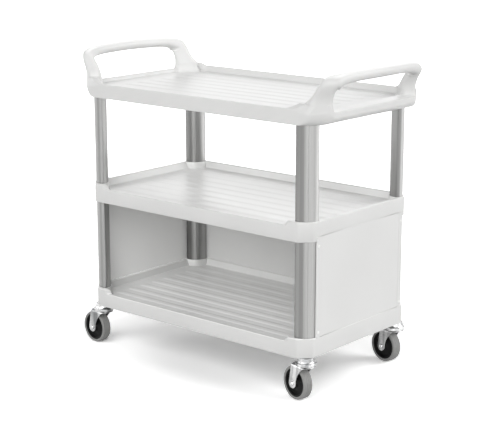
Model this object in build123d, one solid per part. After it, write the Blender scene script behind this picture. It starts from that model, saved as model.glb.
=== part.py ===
from build123d import *
import math
import os

# Three-shelf moulded service cart: millimetres, +Z up, origin on the floor under the middle of the cart.
# X runs along the cart from grip to grip, -Y is the open front, +Y the closed back.

# Shelf mouldings: plan sizes, spacing of the three skirts and heights above a skirt's lower edge.
SHELF_LENGTH = 878.0
SHELF_DEPTH = 510.0
LOWER_BAY_PITCH = 340.0
UPPER_BAY_PITCH = 330.0
DECK_RISE = 36.0
FRONT_RIM_RISE = 44.5
RIM_RISE = 57.5
WALL = 3.5
RIM_WIDTH = 12.0
RIM_SLOPE = 9.0
CORNER_ROUNDING = 14.0
EDGE_CHAMFER = 2.5
DIP_RAMP = 16.0
DIP_MARGIN = 6.0

# Top shelf: lower rims, a ridge along the back, ends that flare out into a nose, raised handle feet.
TOP_DECK_RISE = 32.0
TOP_RIM_RISE = 43.5
TOP_RIM_WIDTH = 15.5
TOP_TRAY_REACH = 7.1
TOP_TRAY_ROUNDING = 28.0
RIDGE_RISE = 7.5
NOSE_REACH = 48.6
NOSE_CORNER_REACH = 19.4
NOSE_ROUNDING = 39.0
NOSE_FLARE = ((0.0, 0.0), (0.13, 0.55), (0.34, 0.87), (0.62, 1.0), (1.0, 1.0))
PEDESTAL_RISE = 16.0
PEDESTAL_SPREAD = 14.0
PEDESTAL_FLARE = ((0.0, 1.0), (0.55, 0.55), (0.8, 0.2), (1.0, 0.0))
RAMP_LENGTH = 54.0
RAMP_SAG = 4.0

# Deck ribs and underside ribs.
DECK_RIBS = 8
DECK_RIB_PITCH = 54.0
DECK_RIB_WIDTH = 22.0
DECK_RIB_RISE = 2.0
DECK_RIB_INSET = 63.4
UNDER_RIB = 3.0
UNDER_RIB_DEPTH = 9.0
UNDER_RIB_X = 220.0
UNDER_RIB_Y = 85.0

# Oval aluminium uprights, two lengths at each corner, standing in sockets.
UPRIGHT_WIDTH = 66.0
UPRIGHT_THICKNESS = 38.4
UPRIGHT_END_RADIUS = 11.0
UPRIGHT_WALL = 2.0
UPRIGHT_GROOVE = 2.4
UPRIGHT_GROOVE_DEPTH = 0.9
UPRIGHT_SEAT = 0.2
SOCKET_WALL = 3.0
SOCKET_FIT = 0.2
SOCKET_DEPTH = 38.0
SOCKET_ROOF = 4.0
SOCKET_SIDE = 10.4

# Handles: a round grip bar on two broad legs at each end, set along the corner facets and tenoned in.
GRIP_OUTSET = 62.0
GRIP_RISE = 131.5
GRIP_RADIUS = 15.0
GRIP_DROP = 5.5
GRIP_ROUNDNESS = 0.48
FOOT_OUTSET = 8.0
FOOT_INSET = 49.0
FOOT_WIDTH = 60.0
FOOT_DEPTH = 44.0
LEG_WIDTH = 53.0
LEG_DEPTH = 40.0
LEG_ROUNDING = 14.0
LEG_LEAN = 0.5
LEG_LEAN_POWER = 1.3
LEG_FLARE_POWER = 3.0
LEG_TAPER_POWER = 10.0
ARCH_POWER = 8.0
BEND_POWER = 0.35
ARCH_ANGLES = (0.0, 0.5, 5.0, 20.0, 40.0, 60.0, 78.0)
TENON_SIZE = 18.0
TENON_DEPTH = 10.0
HANDLE_GAP = 0.3

# Panels round the lower bay.
PANEL_THICKNESS = 3.0
PANEL_GAP = 0.3
PANEL_LAP = 13.0
PANEL_END_INSET = 10.0
PANEL_BEAD = 18.0
PANEL_BEAD_RISE = 1.2
PANEL_REST = 72.0

# Small fasteners, plain six-sided forms: push rivets in the panels, screws in uprights and handles.
FASTENER_SIDES = 6
RIVET_RADIUS = 2.0
RIVET_HEAD_RADIUS = 4.5
RIVET_HEAD = 1.6
RIVET_LENGTH = 9.0
RIVET_INSET = 15.0
RIVET_EDGE = 8.0
SCREW_RADIUS = 2.0
SCREW_HEAD_RADIUS = 4.0
SCREW_HEAD = 2.5
SCREW_LENGTH = 11.0
SCREW_EDGE = 6.5
SCREW_FIT = 0.3
SCREW_ACCESS = 5.5
HANDLE_SCREW_BITE = 8.0

# Swivel casters with threaded stems.
WHEEL_RADIUS = 51.0
TYRE_WIDTH = 31.0
TYRE_DEPTH = 9.0
TYRE_SHOULDER = 4.0
HUB_WIDTH = 34.0
HUB_BOSS_RADIUS = 14.0
HUB_WEB = 7.0
HUB_RIM = 4.0
CASTER_TRAIL = 35.0
STEM_OUTSET = 5.0
WHEEL_SIDE_GAP = 2.0
WHEEL_TOP_GAP = 7.0
FORK_STEEL = 3.0
FORK_LEG_RADIUS = 12.0
FORK_HEEL = 3.0
FORK_TOE = 22.0
FORK_SKIRT = 9.0
FORK_SWEEP_X = 8.0
FORK_SWEEP_Z = 34.0
CROWN_RADIUS = 30.0
CUP_HEIGHT = 25.0
CUP_WALL = 4.7
BALL_RING_RADIUS = 24.0
BALL_DIAMETER = 4.0
RACE_GAP = 0.3
STEM_RADIUS = 6.0
STEM_FIT = 0.15
STEM_TAIL_RADIUS = 9.0
STEM_TAIL = 3.0
STEM_TIP = 2.0
STEM_NUT_FLATS = 19.0
STEM_NUT_HEIGHT = 7.0
RUNNING_FIT = 0.06
AXLE_RADIUS = 4.0
AXLE_TIP = 0.6
BUSH_WALL = 2.0
BOLT_HEAD_RADIUS = 6.8
BOLT_HEAD = 4.0
AXLE_NUT_FLATS = 13.0
AXLE_NUT_HEIGHT = 5.0

# Turn of each caster about its stem, wheels trailing toward the left end.
CASTER_TURNS = {"front_left": -4.0, "front_right": -13.0, "rear_left": -7.0, "rear_right": -10.0}
SIDES = {"front_left": (-1, -1), "front_right": (1, -1), "rear_left": (-1, 1), "rear_right": (1, 1)}

# Heights that follow from the sizes above, from the floor up.
CROWN_TOP_Z = 2 * WHEEL_RADIUS + WHEEL_TOP_GAP + FORK_STEEL
BOTTOM_SKIRT_Z = CROWN_TOP_Z + CUP_HEIGHT
MIDDLE_SKIRT_Z = BOTTOM_SKIRT_Z + LOWER_BAY_PITCH
TOP_SKIRT_Z = MIDDLE_SKIRT_Z + UPPER_BAY_PITCH
TOP_DECK_Z = TOP_SKIRT_Z + TOP_DECK_RISE
TOP_RIM_Z = TOP_SKIRT_Z + TOP_RIM_RISE
PEDESTAL_Z = TOP_RIM_Z + PEDESTAL_RISE
GRIP_Z = TOP_SKIRT_Z + GRIP_RISE
TOP_SOCKET_DEPTH = TOP_DECK_RISE - SOCKET_ROOF

# Plan positions that follow from the sizes above.
HALF_X = SHELF_LENGTH / 2
HALF_Y = SHELF_DEPTH / 2
OVAL_A = UPRIGHT_WIDTH / 2
OVAL_B = UPRIGHT_THICKNESS / 2
OVAL_SHIFT = (OVAL_A - UPRIGHT_END_RADIUS) / math.sqrt(2)
OVAL_REACH = OVAL_SHIFT + UPRIGHT_END_RADIUS
UPRIGHT_X = HALF_X - SOCKET_WALL - OVAL_REACH
UPRIGHT_Y = HALF_Y - SOCKET_SIDE - OVAL_REACH
CORNER_CUT = HALF_X + HALF_Y - UPRIGHT_X - UPRIGHT_Y - math.sqrt(2) * (OVAL_B + SOCKET_WALL)
STEM_X = UPRIGHT_X + STEM_OUTSET / math.sqrt(2)
STEM_Y = UPRIGHT_Y + STEM_OUTSET / math.sqrt(2)
GRIP_X = HALF_X + GRIP_OUTSET
FOOT_X = HALF_X + FOOT_OUTSET
FOOT_Y = HALF_Y - FOOT_INSET
FOOT_REACH = ((FOOT_WIDTH + FOOT_DEPTH) / 2 - 2 * LEG_ROUNDING) / math.sqrt(2) + LEG_ROUNDING
PANEL_HALF_Y = HALF_Y - CORNER_CUT - 2 * PANEL_GAP - PANEL_END_INSET
PANEL_HALF_X = HALF_X - CORNER_CUT - 2 * PANEL_GAP
END_PANEL_X = HALF_X - SOCKET_WALL + PANEL_GAP
BACK_PANEL_Y = UPRIGHT_Y + OVAL_REACH + PANEL_GAP
FORK_GAP = max(HUB_WIDTH, TYRE_WIDTH) + 2 * WHEEL_SIDE_GAP
FORK_FACE = FORK_GAP / 2 + FORK_STEEL
RACE_RADIUS = BALL_RING_RADIUS + BALL_DIAMETER / 2 + RACE_GAP
RIM_LEAN = math.degrees(math.atan2(RIM_SLOPE, RIM_RISE - DECK_RISE))

os.makedirs("parts", exist_ok=True)


def save(shape, name):
    export_step(shape, "parts/" + name + ".step")


def block(x0, x1, y0, y1, z0, z1):
    size = Box(x1 - x0, y1 - y0, z1 - z0)
    return Pos((x0 + x1) / 2, (y0 + y1) / 2, (z0 + z1) / 2) * size


def prism(outline, low, high):
    return extrude(Pos(0, 0, low) * outline, amount=high - low)


def rod(x, y, low, high, radius):
    return Pos(x, y, (low + high) / 2) * Cylinder(radius, high - low)


def plan(half_x, half_y, cut, rounding):
    """Rectangle with its four corners cut at 45 degrees, every corner rounded where asked."""
    points = [
        (half_x - cut, -half_y),
        (half_x, cut - half_y),
        (half_x, half_y - cut),
        (half_x - cut, half_y),
        (cut - half_x, half_y),
        (-half_x, half_y - cut),
        (-half_x, cut - half_y),
        (cut - half_x, -half_y),
    ]
    outline = Polygon(*points, align=None)
    if rounding > 0:
        outline = fillet(outline.vertices(), rounding)
    return outline


def oval(corner, grow):
    """Upright's four-arc oval, grown evenly, its broad face square to the corner's diagonal."""
    sx, sy = SIDES[corner]
    flank = (OVAL_A**2 - 2 * OVAL_A * UPRIGHT_END_RADIUS + OVAL_B**2) / (2 * (OVAL_B - UPRIGHT_END_RADIUS))
    middle = OVAL_A - UPRIGHT_END_RADIUS
    meet = math.atan2(flank - OVAL_B, middle)
    end_radius = UPRIGHT_END_RADIUS + grow
    x = middle + end_radius * math.cos(meet)
    y = end_radius * math.sin(meet)
    a = OVAL_A + grow
    b = OVAL_B + grow
    arcs = [
        ThreePointArc((x, -y), (a, 0), (x, y)),
        ThreePointArc((x, y), (0, b), (-x, y)),
        ThreePointArc((-x, y), (-a, 0), (-x, -y)),
        ThreePointArc((-x, -y), (0, -b), (x, -y)),
    ]
    return Pos(sx * UPRIGHT_X, sy * UPRIGHT_Y, 0) * Rot(0, 0, -45 * sx * sy) * make_face(arcs)


def pin(radius, low, high):
    """Plain six-sided pin along Z."""
    return prism(RegularPolygon(radius, FASTENER_SIDES), low, high)


def hexagon(flats, low, high):
    return prism(RegularPolygon(flats / 2, 6, major_radius=False), low, high)


def group(shapes):
    return Compound(children=list(shapes))


def deck_ribs(deck):
    """Long raised ribs with sloping sides on a deck."""
    length = 2 * (HALF_X - DECK_RIB_INSET)
    ribs = []
    for i in range(DECK_RIBS):
        y = (i - (DECK_RIBS - 1) / 2) * DECK_RIB_PITCH
        rib = Pos(0, y, deck) * Rectangle(length, DECK_RIB_WIDTH)
        ribs.append(extrude(rib, amount=DECK_RIB_RISE, taper=45))
    return ribs


def under_ribs(deck):
    """Shallow stiffening ribs below a deck, crossing each other."""
    low = deck - WALL - UNDER_RIB_DEPTH
    high = deck - WALL / 2
    inside_x = HALF_X - WALL / 2
    inside_y = HALF_Y - WALL / 2
    half = UNDER_RIB / 2
    ribs = []
    for y in (-UNDER_RIB_Y, UNDER_RIB_Y):
        ribs.append(block(-inside_x, inside_x, y - half, y + half, low, high))
    for x in (-UNDER_RIB_X, 0, UNDER_RIB_X):
        ribs.append(block(x - half, x + half, -inside_y, inside_y, low, high))
    return ribs


def screw_levels():
    """Heights of the screws that hold the upper and the lower uprights in their sockets."""
    under_middle = MIDDLE_SKIRT_Z + DECK_RISE - WALL - SCREW_EDGE
    under_bottom = BOTTOM_SKIRT_Z + DECK_RISE - WALL - SCREW_EDGE
    upper = (TOP_SKIRT_Z + TOP_SOCKET_DEPTH / 2, under_middle)
    lower = (MIDDLE_SKIRT_Z + SCREW_EDGE, under_bottom)
    return upper, lower


def upright_screw(corner, z, grow):
    """Screw through a socket's inner wall into the upright, along the corner's diagonal."""
    sx, sy = SIDES[corner]
    seat = OVAL_B + SOCKET_WALL
    body = pin(SCREW_RADIUS + grow, seat - SCREW_LENGTH, seat)
    body += pin(SCREW_HEAD_RADIUS + grow, seat, seat + SCREW_HEAD)
    turn = Rot(0, 0, math.degrees(math.atan2(-sy, -sx))) * Rot(0, 90, 0)
    return Pos(sx * UPRIGHT_X, sy * UPRIGHT_Y, z) * turn * body


def handle_screw(sx, sy, grow):
    """Screw driven up through a handle pedestal into the leg's tenon."""
    seat = TOP_DECK_Z - WALL
    tip = PEDESTAL_Z - TENON_DEPTH + HANDLE_SCREW_BITE
    body = pin(SCREW_RADIUS + grow, seat, tip)
    body += pin(SCREW_HEAD_RADIUS + grow, seat - SCREW_HEAD, seat)
    return Pos(sx * FOOT_X, sy * FOOT_Y, 0) * body


def tray_shelf(skirt, levels):
    """Tray moulding with a skirt, a low front rim, socket walls and screw holes at every upright."""
    deck = skirt + DECK_RISE
    rim = skirt + RIM_RISE
    front = skirt + FRONT_RIM_RISE
    floor = RIM_WIDTH + RIM_SLOPE
    outline = plan(HALF_X, HALF_Y, CORNER_CUT, CORNER_ROUNDING)
    shoulder = rim - EDGE_CHAMFER
    edge = prism(outline, skirt, shoulder)
    edge += extrude(Pos(0, 0, shoulder) * outline, amount=EDGE_CHAMFER, taper=45)
    tray_plan = plan(HALF_X - floor, HALF_Y - floor, CORNER_CUT, CORNER_ROUNDING)
    skin_plan = plan(HALF_X - floor + WALL, HALF_Y - floor + WALL, CORNER_CUT, CORNER_ROUNDING)
    tray = extrude(Pos(0, 0, deck) * tray_plan, amount=RIM_RISE - DECK_RISE, taper=-RIM_LEAN)
    skin = extrude(Pos(0, 0, deck - WALL) * skin_plan, amount=RIM_RISE - DECK_RISE, taper=-RIM_LEAN)
    dip_high = UPRIGHT_X - OVAL_REACH - DIP_MARGIN
    dip_low = dip_high - DIP_RAMP
    dip = Polygon((-dip_high, rim), (-dip_low, front), (dip_low, front), (dip_high, rim), align=None)
    dip_cut = extrude(Plane.XZ.offset(HALF_Y - floor) * dip, amount=floor)
    core = prism(plan(HALF_X - WALL, HALF_Y - WALL, CORNER_CUT, 0), skirt, rim - WALL)
    core -= skin
    core -= block(-dip_high, dip_high, -HALF_Y, floor - HALF_Y, front - WALL, rim)
    shelf = edge - tray - core - dip_cut
    for corner in SIDES:
        shelf += prism(oval(corner, SOCKET_WALL), skirt, rim) & edge
    shelf += deck_ribs(deck)
    shelf += under_ribs(deck)
    for corner in SIDES:
        for z in levels:
            shelf -= upright_screw(corner, z, SCREW_FIT)
    return shelf


def middle_shelf():
    """Middle tray: sockets above and below a stop web, and a rebate for the end panels."""
    skirt = MIDDLE_SKIRT_Z
    rim = skirt + RIM_RISE
    upper, lower = screw_levels()
    shelf = tray_shelf(skirt, (upper[1], lower[0]))
    lap = skirt + PANEL_LAP
    rest_y = PANEL_HALF_Y - PANEL_REST
    for corner in SIDES:
        shelf -= prism(oval(corner, SOCKET_FIT), rim - SOCKET_DEPTH, rim)
        shelf -= prism(oval(corner, SOCKET_FIT), skirt, rim - SOCKET_DEPTH - WALL)
    face = HALF_X - SOCKET_WALL
    half = PANEL_HALF_Y + PANEL_GAP
    for side in (-1, 1):
        cut = block(face, HALF_X + WALL, -half, half, skirt, lap)
        rest = block(face - WALL, face, -rest_y, rest_y, skirt, lap + WALL)
        if side < 0:
            cut = cut.mirror(Plane.YZ)
            rest = rest.mirror(Plane.YZ)
        shelf = shelf - cut + rest
    return shelf


def bottom_shelf():
    """Bottom tray: each socket stands on a round pad that takes a caster stem."""
    skirt = BOTTOM_SKIRT_Z
    rim = skirt + RIM_RISE
    floor = rim - SOCKET_DEPTH
    shelf = tray_shelf(skirt, screw_levels()[1][1:])
    edge = prism(plan(HALF_X, HALF_Y, CORNER_CUT, CORNER_ROUNDING), skirt, floor)
    for corner, (sx, sy) in SIDES.items():
        shelf += rod(sx * STEM_X, sy * STEM_Y, skirt, floor, RACE_RADIUS + CUP_WALL) & edge
        shelf -= prism(oval(corner, SOCKET_FIT), floor, rim)
        shelf -= rod(sx * STEM_X, sy * STEM_Y, skirt, floor, STEM_RADIUS + STEM_FIT)
    return shelf


def nose_plan(share, inset):
    """Top shelf outline at one height: ends and corners reach out by their share; inset ones stay sharp."""
    reach = NOSE_REACH * share
    cut = CORNER_CUT + reach - math.sqrt(2) * NOSE_CORNER_REACH * share
    rounding = CORNER_ROUNDING + (NOSE_ROUNDING - CORNER_ROUNDING) * share
    return plan(HALF_X + reach - inset, HALF_Y - inset, cut, 0 if inset > 0 else rounding)


def flared(low, high, inset):
    """Body whose ends flare outward and up from the top shelf's skirt to the nose."""
    layers = []
    for level, share in NOSE_FLARE:
        layers.append(Pos(0, 0, low + (high - low) * level) * nose_plan(share, inset))
    return loft(layers, ruled=True)


def pedestal(sx, sy):
    """Flared foot along a top shelf corner's facet, its top matching the handle leg."""
    low = TOP_DECK_Z - WALL
    layers = []
    for level, share in PEDESTAL_FLARE:
        spread = PEDESTAL_SPREAD * share
        foot = RectangleRounded(FOOT_WIDTH + 2 * spread, FOOT_DEPTH + 2 * spread, LEG_ROUNDING + spread)
        place = Pos(sx * FOOT_X, sy * FOOT_Y, low + (PEDESTAL_Z - low) * level)
        layers.append(place * Rot(0, 0, -45 * sx * sy) * foot)
    return loft(layers, ruled=True)


def rim_ramp(sx, sy):
    """Hollow-curved rise of a long rim toward a handle foot."""
    foot = FOOT_X - FOOT_REACH
    start = foot - RAMP_LENGTH
    low = TOP_RIM_Z - WALL
    middle = ((start + foot) / 2, (TOP_RIM_Z + PEDESTAL_Z) / 2 - RAMP_SAG)
    edges = [
        ThreePointArc((start, TOP_RIM_Z), middle, (foot, PEDESTAL_Z)),
        Polyline((foot, PEDESTAL_Z), (FOOT_X, PEDESTAL_Z), (FOOT_X, low), (start, low), (start, TOP_RIM_Z)),
    ]
    ramp = extrude(Plane.XZ.offset(HALF_Y - RIM_WIDTH) * make_face(edges), amount=RIM_WIDTH)
    if sx < 0:
        ramp = ramp.mirror(Plane.YZ)
    if sy > 0:
        ramp = ramp.mirror(Plane.XZ)
    return ramp


def top_shelf():
    """Top tray: flared shell, rear ridge, four handle pedestals and a socket under each corner."""
    skirt = TOP_SKIRT_Z
    tray_x = HALF_X + TOP_TRAY_REACH
    tray_y = HALF_Y - TOP_RIM_WIDTH
    tray_plan = plan(tray_x, tray_y, CORNER_CUT, TOP_TRAY_ROUNDING)
    skin_plan = plan(tray_x + WALL, tray_y + WALL, CORNER_CUT, TOP_TRAY_ROUNDING)
    tray_rise = PEDESTAL_Z - TOP_DECK_Z
    tray = extrude(Pos(0, 0, TOP_DECK_Z) * tray_plan, amount=tray_rise, taper=-RIM_LEAN)
    skin = extrude(Pos(0, 0, TOP_DECK_Z - WALL) * skin_plan, amount=tray_rise, taper=-RIM_LEAN)
    body = flared(skirt, TOP_RIM_Z, 0)
    hollow = flared(skirt + WALL, TOP_RIM_Z - WALL, WALL) + prism(nose_plan(0, WALL), skirt, skirt + WALL)
    limit = body + prism(nose_plan(1.0, 0), TOP_RIM_Z, PEDESTAL_Z)
    ridge = block(-HALF_X, HALF_X, HALF_Y - RIM_WIDTH, HALF_Y, TOP_RIM_Z - WALL, TOP_RIM_Z + RIDGE_RISE)
    shelf = body + (ridge & limit) - (hollow - skin) - tray
    for sx, sy in SIDES.values():
        shelf += (pedestal(sx, sy) + rim_ramp(sx, sy)) & limit
    for corner in SIDES:
        shelf += prism(oval(corner, SOCKET_WALL), skirt, TOP_DECK_Z - WALL / 2)
        shelf -= prism(oval(corner, SOCKET_FIT), skirt, skirt + TOP_SOCKET_DEPTH)
    shelf += deck_ribs(TOP_DECK_Z)
    shelf += under_ribs(TOP_DECK_Z)
    pocket = TENON_SIZE + 2 * HANDLE_GAP
    for corner, (sx, sy) in SIDES.items():
        shelf -= Pos(sx * FOOT_X, sy * FOOT_Y, PEDESTAL_Z) * Box(pocket, pocket, 2 * TENON_DEPTH)
        shelf -= Pos(sx * FOOT_X, sy * FOOT_Y, 0) * pin(SCREW_ACCESS, skirt, TOP_DECK_Z - WALL)
        shelf -= handle_screw(sx, sy, SCREW_FIT)
        shelf -= upright_screw(corner, screw_levels()[0][0], SCREW_FIT)
    return shelf


def upright(corner, low, high, levels):
    """Hollow oval tube with one fine groove down each broad face and a screw hole near each end."""
    tube = prism(oval(corner, 0), low, high) - prism(oval(corner, -UPRIGHT_WALL), low, high)
    sx, sy = SIDES[corner]
    place = Pos(sx * UPRIGHT_X, sy * UPRIGHT_Y, (low + high) / 2) * Rot(0, 0, -45 * sx * sy)
    groove = Box(UPRIGHT_GROOVE, 2 * UPRIGHT_GROOVE_DEPTH, high - low)
    for face in (-OVAL_B, OVAL_B):
        tube -= place * Pos(0, face, 0) * groove
    for z in levels:
        tube -= upright_screw(corner, z, 0)
    return tube


def handle_station(angle):
    """Middle of the loop at one angle of its arch: x, y, z and the share of the leg's rise."""
    across = abs(math.cos(math.radians(angle))) ** (2 / ARCH_POWER)
    share = math.sin(math.radians(angle)) ** (2 / ARCH_POWER)
    side = 1 if angle > 90 else -1
    foot_z = PEDESTAL_Z + HANDLE_GAP
    lean = LEG_LEAN * share**LEG_LEAN_POWER + (1 - LEG_LEAN) * max(0.0, 1 - across) ** BEND_POWER
    x = FOOT_X + (GRIP_X - FOOT_X) * lean
    z = foot_z + (GRIP_Z - GRIP_DROP - foot_z) * share + GRIP_DROP * (1 - across**2)
    return x, side * FOOT_Y * across, z, share


def handle(side):
    """One moulded loop: broad legs along the corner facets ease into a round bar on a square-shouldered arch."""
    angles = list(ARCH_ANGLES) + [90.0] + [180 - a for a in reversed(ARCH_ANGLES)]
    stations = [handle_station(angle) for angle in angles]
    last = len(stations) - 1
    bar = 2 * GRIP_RADIUS
    rings = []
    for i, (x, y, z, share) in enumerate(stations):
        before = stations[max(i - 1, 0)]
        after = stations[min(i + 1, last)]
        along = Vector(0, after[1] - before[1], after[2] - before[2]).normalized()
        if i in (0, last):
            along = Vector(0, 0, 1 if i == 0 else -1)
        facet = Vector(1, -1 if y > 0 else 1, 0)
        flare = (1 - share) ** LEG_FLARE_POWER
        slim = share**LEG_TAPER_POWER
        leg_width = LEG_WIDTH + (FOOT_WIDTH - LEG_WIDTH) * flare
        leg_depth = LEG_DEPTH + (FOOT_DEPTH - LEG_DEPTH) * flare
        width = leg_width + (bar - leg_width) * slim
        depth = leg_depth + (bar - leg_depth) * slim
        rounding = LEG_ROUNDING + (GRIP_ROUNDNESS * bar - LEG_ROUNDING) * slim
        plane = Plane(origin=(x, y, z), x_dir=facet - along * facet.dot(along), z_dir=along)
        rings.append(plane * RectangleRounded(width, depth, rounding))
    loop = loft(rings, ruled=True)
    foot_z = PEDESTAL_Z + HANDLE_GAP
    for sy in (-1, 1):
        loop += Pos(FOOT_X, sy * FOOT_Y, foot_z) * Box(TENON_SIZE, TENON_SIZE, 2 * TENON_DEPTH)
        loop -= handle_screw(1, sy, 0)
    if side < 0:
        loop = loop.mirror(Plane.YZ)
    return loop


def rivet_levels():
    """Heights of the panel rivets near the foot and head of the lower uprights."""
    return (BOTTOM_SKIRT_Z + RIM_RISE + RIVET_INSET, MIDDLE_SKIRT_Z - RIVET_INSET)


def rivet(grow):
    """Push rivet along +X with its head's underside at the origin."""
    body = pin(RIVET_RADIUS + grow, -RIVET_LENGTH, 0)
    body += pin(RIVET_HEAD_RADIUS + grow, 0, RIVET_HEAD)
    return Rot(0, 90, 0) * body


def rivet_places():
    """Where every panel rivet sits, as positions and turns."""
    places = []
    end_face = END_PANEL_X + PANEL_THICKNESS + PANEL_BEAD_RISE
    end_y = PANEL_HALF_Y - RIVET_EDGE
    back_face = BACK_PANEL_Y + PANEL_THICKNESS
    for z in rivet_levels():
        for sy in (-1, 1):
            places.append(Pos(end_face, sy * end_y, z))
            places.append(Pos(-end_face, sy * end_y, z) * Rot(0, 0, 180))
        for sx in (-1, 1):
            places.append(Pos(sx * (UPRIGHT_X - OVAL_SHIFT), back_face, z) * Rot(0, 0, 90))
    return places


def end_panel(side):
    """Flat end panel with a raised band down each upright edge, riveted to the uprights."""
    low = BOTTOM_SKIRT_Z + RIM_RISE + PANEL_GAP
    high = MIDDLE_SKIRT_Z + PANEL_LAP - PANEL_GAP
    outer = END_PANEL_X + PANEL_THICKNESS
    panel = block(END_PANEL_X, outer, -PANEL_HALF_Y, PANEL_HALF_Y, low, high)
    for sy in (-1, 1):
        bead = Pos(outer, sy * (PANEL_HALF_Y - PANEL_BEAD / 2)) * Rectangle(2 * PANEL_BEAD_RISE, PANEL_BEAD)
        bead = chamfer(bead.vertices(), PANEL_BEAD_RISE / 2)
        panel += prism(bead, low, high)
    if side < 0:
        panel = panel.mirror(Plane.YZ)
    for place in rivet_places():
        panel -= place * rivet(PANEL_GAP / 2)
    return panel


def back_panel():
    """Flat back panel behind the rear uprights, its middle tucked up behind the shelf skirt."""
    low = BOTTOM_SKIRT_Z + RIM_RISE + PANEL_GAP
    high = MIDDLE_SKIRT_Z - PANEL_GAP
    outer = BACK_PANEL_Y + PANEL_THICKNESS
    panel = block(-PANEL_HALF_X, PANEL_HALF_X, BACK_PANEL_Y, outer, low, high)
    tuck = UPRIGHT_X - UPRIGHT_WIDTH
    panel += block(-tuck, tuck, BACK_PANEL_Y, outer, high, high + PANEL_LAP)
    for place in rivet_places():
        panel -= place * rivet(PANEL_GAP / 2)
    return panel


def stem():
    """Threaded caster stem: through cup, pad and nut above, with a riveted tail below the fork crown."""
    tail_top = CROWN_TOP_Z - FORK_STEEL - RACE_GAP
    tip = BOTTOM_SKIRT_Z + RIM_RISE - SOCKET_DEPTH + STEM_NUT_HEIGHT + STEM_TIP
    return rod(0, 0, tail_top, tip, STEM_RADIUS) + rod(0, 0, tail_top - STEM_TAIL, tail_top, STEM_TAIL_RADIUS)


def stem_nut(corner):
    """Nut on the caster stem, standing on the socket floor inside the hollow upright."""
    sx, sy = SIDES[corner]
    low = BOTTOM_SKIRT_Z + RIM_RISE - SOCKET_DEPTH
    high = low + STEM_NUT_HEIGHT
    nut = hexagon(STEM_NUT_FLATS, low, high) - rod(0, 0, low, high, STEM_RADIUS)
    return Pos(sx * STEM_X, sy * STEM_Y, 0) * Rot(0, 0, 45 * sx * sy + 30) * nut


def cup():
    """Pressed swivel cup between the shelf and the fork crown, hollow for the ball ring."""
    low = CROWN_TOP_Z + RACE_GAP
    body = rod(0, 0, low, BOTTOM_SKIRT_Z, RACE_RADIUS + CUP_WALL)
    body -= rod(0, 0, low, low + BALL_DIAMETER, RACE_RADIUS)
    return body - rod(0, 0, low, BOTTOM_SKIRT_Z, STEM_RADIUS + STEM_FIT)


def ball_ring():
    """Ring of caged balls under the cup."""
    low = CROWN_TOP_Z + RACE_GAP
    high = low + BALL_DIAMETER - RACE_GAP
    outside = rod(0, 0, low, high, BALL_RING_RADIUS + BALL_DIAMETER / 2)
    return outside - rod(0, 0, low, high, BALL_RING_RADIUS - BALL_DIAMETER / 2)


def fork():
    """Pressed steel fork: a round crown under the cup and two swept legs beside the wheel."""
    crown_low = CROWN_TOP_Z - FORK_STEEL
    axle_x = -CASTER_TRAIL
    axle_z = WHEEL_RADIUS
    heel = axle_x - FORK_HEEL
    outline = Circle(CROWN_RADIUS) + Pos(heel / 2, 0) * Rectangle(-heel, 2 * FORK_FACE)
    body = prism(outline, crown_low, CROWN_TOP_Z)
    front = axle_x + FORK_LEG_RADIUS
    bend = CROWN_TOP_Z - FORK_SKIRT
    edges = [
        ThreePointArc((front, axle_z), (front + FORK_SWEEP_X, axle_z + FORK_SWEEP_Z), (FORK_TOE, bend)),
        Polyline((FORK_TOE, bend), (FORK_TOE, CROWN_TOP_Z), (heel, CROWN_TOP_Z),
                 (axle_x - FORK_LEG_RADIUS, axle_z)),
        ThreePointArc((axle_x - FORK_LEG_RADIUS, axle_z), (axle_x, axle_z - FORK_LEG_RADIUS), (front, axle_z)),
    ]
    leg = make_face(edges)
    for side in (-1, 1):
        middle = side * (FORK_FACE - FORK_STEEL / 2)
        body += extrude(Plane.XZ.offset(-middle) * leg, amount=FORK_STEEL / 2, both=True)
    body -= on_axle(Cylinder(AXLE_RADIUS + STEM_FIT, 2 * FORK_FACE))
    return body - rod(0, 0, crown_low, CROWN_TOP_Z, STEM_RADIUS + RUNNING_FIT)


def on_axle(shape):
    """Turns a shape made about Z onto the axle."""
    return Pos(-CASTER_TRAIL, 0, WHEEL_RADIUS) * Rot(90, 0, 0) * shape


def axle_bolt():
    """Round-headed axle bolt through both fork legs and the bush."""
    shank = rod(0, 0, -FORK_FACE - AXLE_NUT_HEIGHT - AXLE_TIP, FORK_FACE, AXLE_RADIUS)
    return on_axle(shank + rod(0, 0, FORK_FACE, FORK_FACE + BOLT_HEAD, BOLT_HEAD_RADIUS))


def axle_nut():
    low = -FORK_FACE - AXLE_NUT_HEIGHT
    return on_axle(hexagon(AXLE_NUT_FLATS, low, -FORK_FACE) - rod(0, 0, low, -FORK_FACE, AXLE_RADIUS))


def bush():
    """Steel sleeve on the axle, clamped between the fork legs; the wheel turns on it."""
    return on_axle(Cylinder(AXLE_RADIUS + BUSH_WALL, FORK_GAP) - Cylinder(AXLE_RADIUS, FORK_GAP))


def hub():
    """Dished wheel centre: boss, thin web and rim, turned about the axle."""
    bore = AXLE_RADIUS + BUSH_WALL + RUNNING_FIT
    seat = WHEEL_RADIUS - TYRE_DEPTH
    rim_half = (TYRE_WIDTH - HUB_RIM) / 2
    boss_half = HUB_WIDTH / 2
    web_half = HUB_WEB / 2
    upper = [
        (bore, boss_half),
        (HUB_BOSS_RADIUS, boss_half),
        (seat - HUB_RIM, web_half),
        (seat - HUB_RIM, rim_half),
        (seat, rim_half),
    ]
    lower = [(r, -h) for r, h in reversed(upper)]
    half = Plane.XZ * Polygon(*upper, *lower, align=None)
    return on_axle(revolve(half, Axis.Z))


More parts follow.
